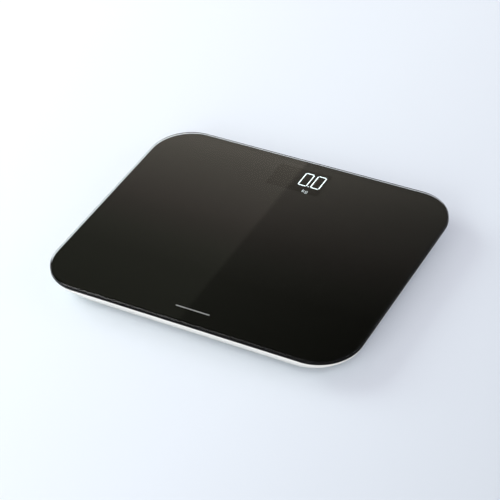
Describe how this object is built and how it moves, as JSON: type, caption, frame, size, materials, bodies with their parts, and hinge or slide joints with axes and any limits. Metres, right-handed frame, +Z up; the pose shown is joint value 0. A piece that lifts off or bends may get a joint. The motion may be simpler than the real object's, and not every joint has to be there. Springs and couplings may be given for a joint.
{
  "type": "digital bathroom scale",
  "caption": "Slim bathroom scale: a black-backed glass platform with rounded corners and a lit display window, on a shallow white tray with weighing feet.",
  "frame": {"origin": "on the floor under the middle of the platform", "axes": "+X to the right of the person who stands on it, +Y towards the display, +Z up"},
  "size_m": [0.28, 0.225, 0.0225],
  "materials": {
    "black_backed_glass": "polished tempered glass, printed black behind",
    "foam_tape": "acrylic foam tape",
    "white_shell": "fine-grained white moulding",
    "zinc_steel": "zinc-plated steel",
    "white_silicone": "cured silicone, satin",
    "grey_plastic": "grey moulding, satin",
    "grey_rubber": "matt moulded rubber",
    "grey_lead_jacket": "soft lead jacket",
    "green_laminate": "glass-fibre laminate with solder resist",
    "chip_epoxy": "moulded epoxy",
    "capacitor_sleeve": "shrunk sleeve",
    "white_reflector": "white moulding",
    "smoked_film": "smoked film",
    "battery_jacket": "printed jacket over a steel can",
    "nickel_strip": "nickel-plated spring steel",
    "red_lead_jacket": "lead jacket",
    "black_lead_jacket": "lead jacket"
  },
  "bodies": {
    "base": {"base_tray": "white_shell", "battery_1": "battery_jacket", "battery_2": "battery_jacket", "battery_bridge_contact": "nickel_strip", "battery_lead_black": "black_lead_jacket", "battery_lead_red": "red_lead_jacket", "battery_minus_contact": "nickel_strip", "battery_plus_contact": "nickel_strip", "board_capacitor": "capacitor_sleeve", "board_screw_1": "zinc_steel", "board_screw_2": "zinc_steel", "board_screw_3": "zinc_steel", "board_screw_4": "zinc_steel", "cell_holder_back_left": "grey_plastic", "cell_holder_back_right": "grey_plastic", "cell_holder_front_left": "grey_plastic", "cell_holder_front_right": "grey_plastic", "cell_lead_back_left": "grey_lead_jacket", "cell_lead_back_right": "grey_lead_jacket", "cell_lead_front_left": "grey_lead_jacket", "cell_lead_front_right": "grey_lead_jacket", "controller_chip": "chip_epoxy", "converter_chip": "chip_epoxy", "display_filter": "smoked_film", "display_reflector": "white_reflector", "gauge_coat_back_left": "white_silicone", "gauge_coat_back_right": "white_silicone", "gauge_coat_front_left": "white_silicone", "gauge_coat_front_right": "white_silicone", "glass_platform": "black_backed_glass", "holder_screw_back_left_back": "zinc_steel", "holder_screw_back_left_front": "zinc_steel", "holder_screw_back_right_back": "zinc_steel", "holder_screw_back_right_front": "zinc_steel", "holder_screw_front_left_back": "zinc_steel", "holder_screw_front_left_front": "zinc_steel", "holder_screw_front_right_back": "zinc_steel", "holder_screw_front_right_front": "zinc_steel", "load_cell_back_left": "zinc_steel", "load_cell_back_right": "zinc_steel", "load_cell_front_left": "zinc_steel", "load_cell_front_right": "zinc_steel", "main_board": "green_laminate", "platform_tape": "foam_tape", "unit_switch": "chip_epoxy"},
    "foot_front_left": {"foot_front_left": "grey_plastic", "foot_pad_front_left": "grey_rubber"},
    "foot_front_right": {"foot_front_right": "grey_plastic", "foot_pad_front_right": "grey_rubber"},
    "foot_back_left": {"foot_back_left": "grey_plastic", "foot_pad_back_left": "grey_rubber"},
    "foot_back_right": {"foot_back_right": "grey_plastic", "foot_pad_back_right": "grey_rubber"},
    "unit_button": {"unit_button": "grey_plastic"},
    "battery_door": {"battery_door": "white_shell"}
  },
  "joints": [
    {"name": "foot_drop_front_left", "type": "slide", "parent": "base", "child": "foot_front_left", "axis": [0, 0, 1], "range_m": [-0.0004, 0]},
    {"name": "foot_drop_front_right", "type": "slide", "parent": "base", "child": "foot_front_right", "axis": [0, 0, 1], "range_m": [-0.0004, 0]},
    {"name": "foot_drop_back_left", "type": "slide", "parent": "base", "child": "foot_back_left", "axis": [0, 0, 1], "range_m": [-0.0004, 0]},
    {"name": "foot_drop_back_right", "type": "slide", "parent": "base", "child": "foot_back_right", "axis": [0, 0, 1], "range_m": [-0.0004, 0]},
    {"name": "unit_button_press", "type": "slide", "parent": "base", "child": "unit_button", "axis": [0, 0, 1], "range_m": [0, 0.0004], "stiffness_N_per_m": 3000},
    {"name": "battery_door_hinge", "type": "hinge", "parent": "base", "child": "battery_door", "pos_m": [0, 0.0169, 0.0053], "axis": [1, 0, 0], "range_deg": [0, 62]}
  ]
}
